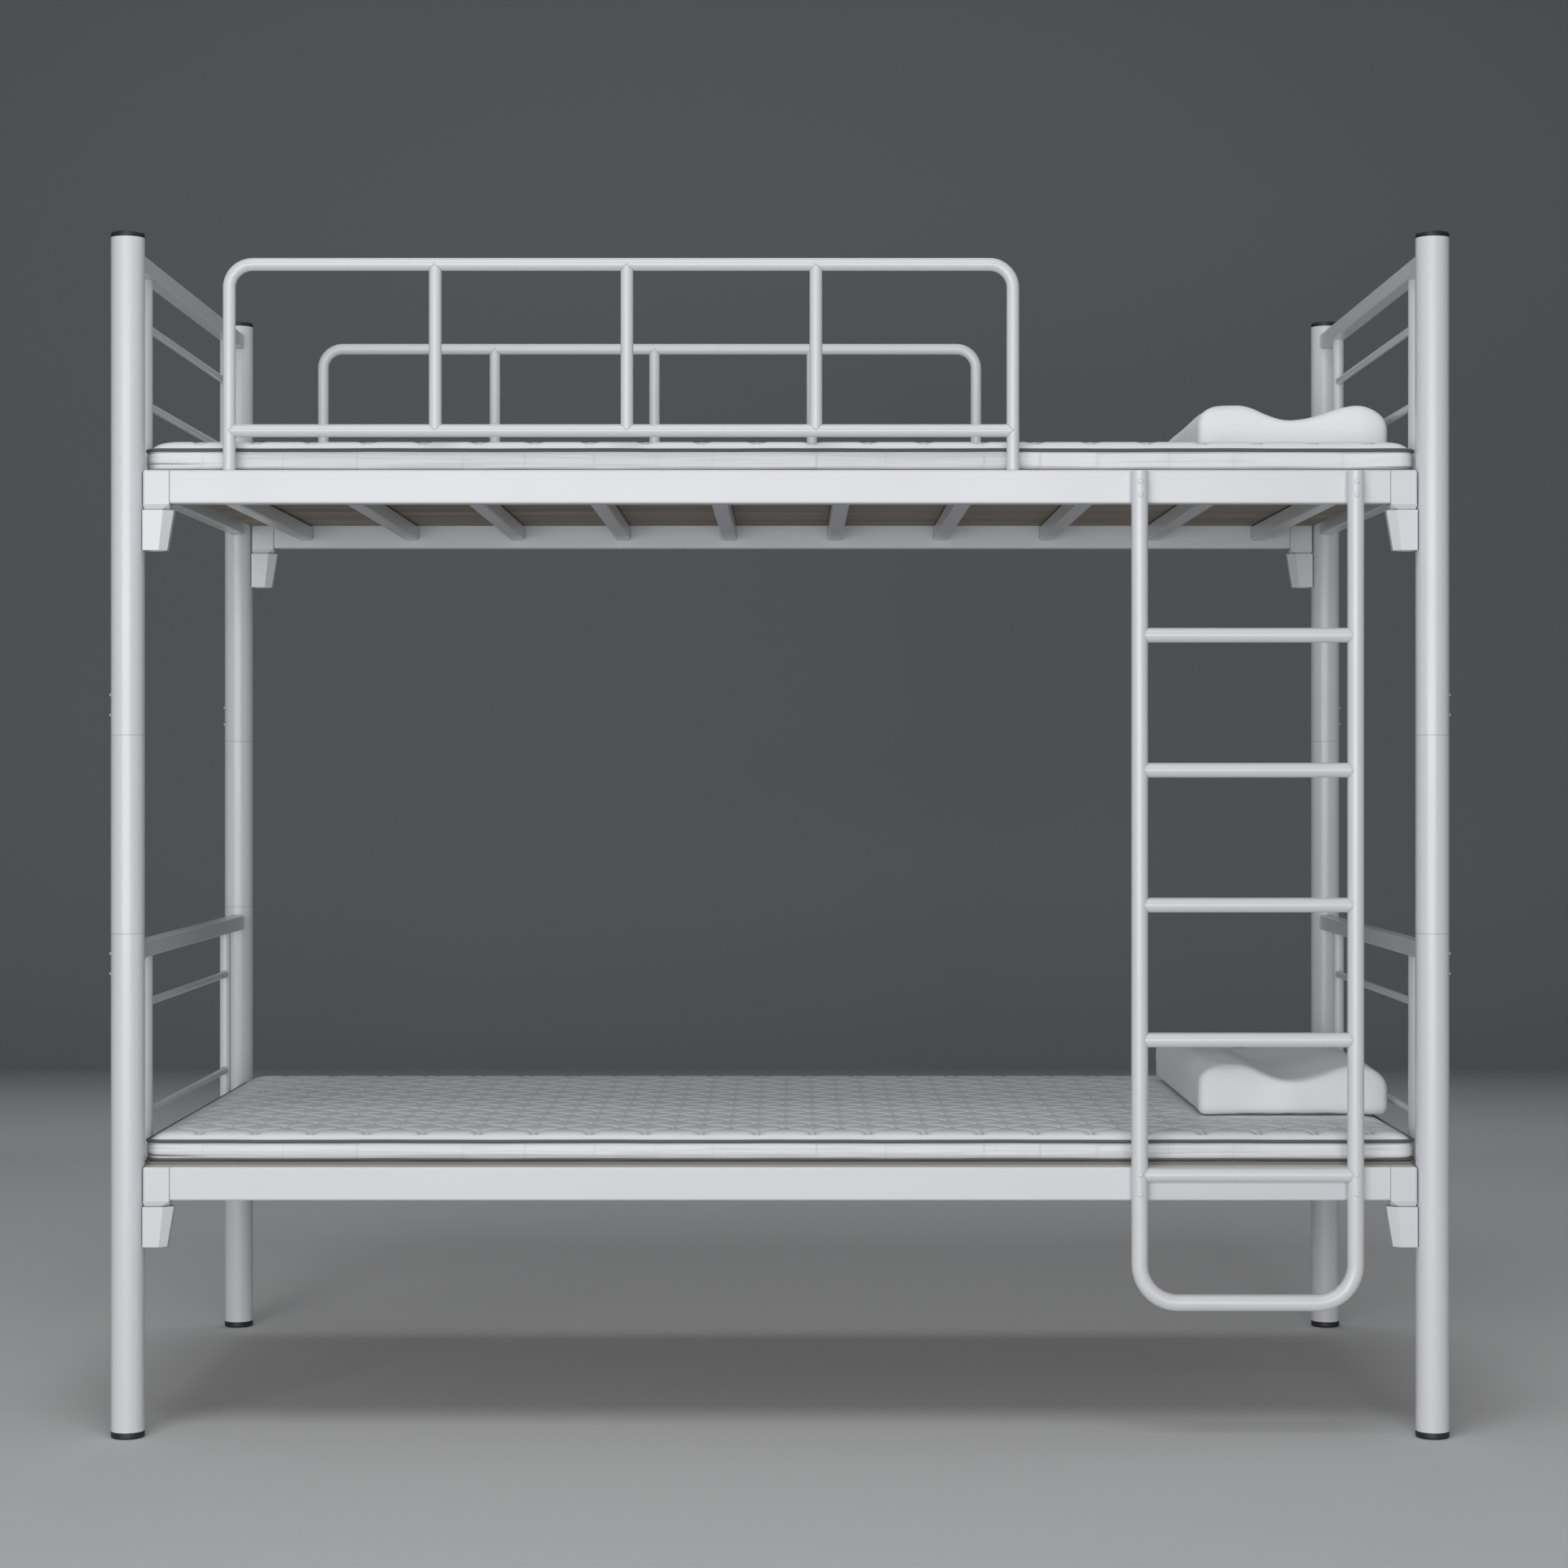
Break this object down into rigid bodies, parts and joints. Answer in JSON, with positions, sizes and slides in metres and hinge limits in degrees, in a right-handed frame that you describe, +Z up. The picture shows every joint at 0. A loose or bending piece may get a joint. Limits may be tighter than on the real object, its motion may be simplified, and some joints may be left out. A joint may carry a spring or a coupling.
{
  "type": "bunk bed with ladder",
  "caption": "Two-tier steel tube bunk bed with hooked side rails, guard rails, a bolted ladder, plywood boards, thin quilted mattresses and contour pillows.",
  "frame": {"origin": "on the floor, midway between the four posts", "axes": "+X along the bed towards the pillow end, -Y towards the ladder side, +Z up"},
  "size_m": [2, 1.015, 1.8],
  "materials": {
    "white_powder_coat": "satin white powder coat",
    "black_plastic": "moulded black",
    "plywood": "bare plywood",
    "mattress_cover": "quilted satin knit",
    "piping": "woven tape",
    "pillow_cover": "soft knit over foam"
  },
  "bodies": {
    "bed_frame": {"back_guard_bar": "white_powder_coat", "back_guard_hoop": "white_powder_coat", "back_guard_uprights": "white_powder_coat", "coupling_sleeves": "white_powder_coat", "coupling_tube_back_left": "white_powder_coat", "coupling_tube_back_right": "white_powder_coat", "coupling_tube_front_left": "white_powder_coat", "coupling_tube_front_right": "white_powder_coat", "feet": "black_plastic", "front_guard_bar": "white_powder_coat", "front_guard_hoop": "white_powder_coat", "front_guard_uprights": "white_powder_coat", "ladder_rungs": "white_powder_coat", "ladder_stile": "white_powder_coat", "lower_back_rail": "white_powder_coat", "lower_board": "plywood", "lower_front_rail": "white_powder_coat", "lower_hooks": "white_powder_coat", "lower_left_cross_rail": "white_powder_coat", "lower_left_rungs": "white_powder_coat", "lower_left_top_rail": "white_powder_coat", "lower_left_uprights": "white_powder_coat", "lower_post_back_left": "white_powder_coat", "lower_post_back_right": "white_powder_coat", "lower_post_front_left": "white_powder_coat", "lower_post_front_right": "white_powder_coat", "lower_right_cross_rail": "white_powder_coat", "lower_right_rungs": "white_powder_coat", "lower_right_top_rail": "white_powder_coat", "lower_right_uprights": "white_powder_coat", "lower_slats": "white_powder_coat", "lower_sockets": "white_powder_coat", "post_caps": "black_plastic", "upper_back_rail": "white_powder_coat", "upper_board": "plywood", "upper_front_rail": "white_powder_coat", "upper_hooks": "white_powder_coat", "upper_left_cross_rail": "white_powder_coat", "upper_left_rungs": "white_powder_coat", "upper_left_top_rail": "white_powder_coat", "upper_left_uprights": "white_powder_coat", "upper_post_back_left": "white_powder_coat", "upper_post_back_right": "white_powder_coat", "upper_post_front_left": "white_powder_coat", "upper_post_front_right": "white_powder_coat", "upper_right_cross_rail": "white_powder_coat", "upper_right_rungs": "white_powder_coat", "upper_right_top_rail": "white_powder_coat", "upper_right_uprights": "white_powder_coat", "upper_slats": "white_powder_coat", "upper_sockets": "white_powder_coat"},
    "lower_bed_pad": {"lower_mattress": "mattress_cover", "lower_mattress_piping": "piping"},
    "lower_bed_pillow": {"lower_pillow": "pillow_cover"},
    "upper_bed_pad": {"upper_mattress": "mattress_cover", "upper_mattress_piping": "piping"},
    "upper_bed_pillow": {"upper_pillow": "pillow_cover"}
  },
  "joints": [
    {"name": "lower_mattress_lift", "type": "slide", "parent": "bed_frame", "child": "lower_bed_pad", "axis": [0, 0, 1], "range_m": [0, 0.35]},
    {"name": "lower_pillow_lift", "type": "slide", "parent": "lower_bed_pad", "child": "lower_bed_pillow", "axis": [0, 0, 1], "range_m": [0, 0.3]},
    {"name": "upper_mattress_lift", "type": "slide", "parent": "bed_frame", "child": "upper_bed_pad", "axis": [0, 0, 1], "range_m": [0, 0.4]},
    {"name": "upper_pillow_lift", "type": "slide", "parent": "upper_bed_pad", "child": "upper_bed_pillow", "axis": [0, 0, 1], "range_m": [0, 0.25]}
  ]
}
